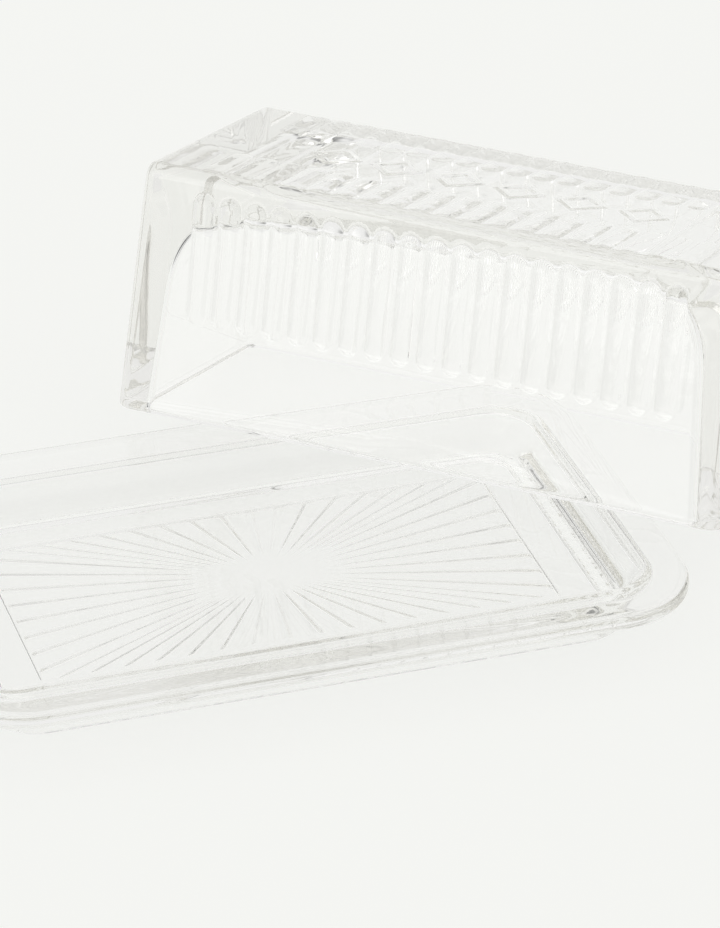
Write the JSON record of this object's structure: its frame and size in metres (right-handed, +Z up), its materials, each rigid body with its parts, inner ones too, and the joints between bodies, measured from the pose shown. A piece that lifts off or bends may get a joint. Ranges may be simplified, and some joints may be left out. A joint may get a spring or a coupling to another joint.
{
  "type": "butter dish",
  "caption": "Clear pressed-glass butter dish: a rimmed rectangular tray with a sunburst under its floor, and a ribbed box-shaped cover leaning on its rim.",
  "frame": {"origin": "centre of the tray's foot, on the plane it stands on", "axes": "+Z up; +X along the tray's length, towards the end that the cover leans over; +Y across the tray, towards the long side that the cover leans over"},
  "size_m": [0.256, 0.2011, 0.0809],
  "materials": {
    "tray_glass": "clear pressed glass, glossy, with faint waviness and mould marks",
    "lid_glass": "clear pressed glass, glossy, with faint waviness and mould marks"
  },
  "bodies": {
    "tray": {"tray": "tray_glass"},
    "lid": {"lid": "lid_glass"}
  },
  "joints": [
    {"name": "lid_lift", "type": "slide", "parent": "tray", "child": "lid", "axis": [0, 0, 1], "range_m": [0, 0.1]}
  ]
}
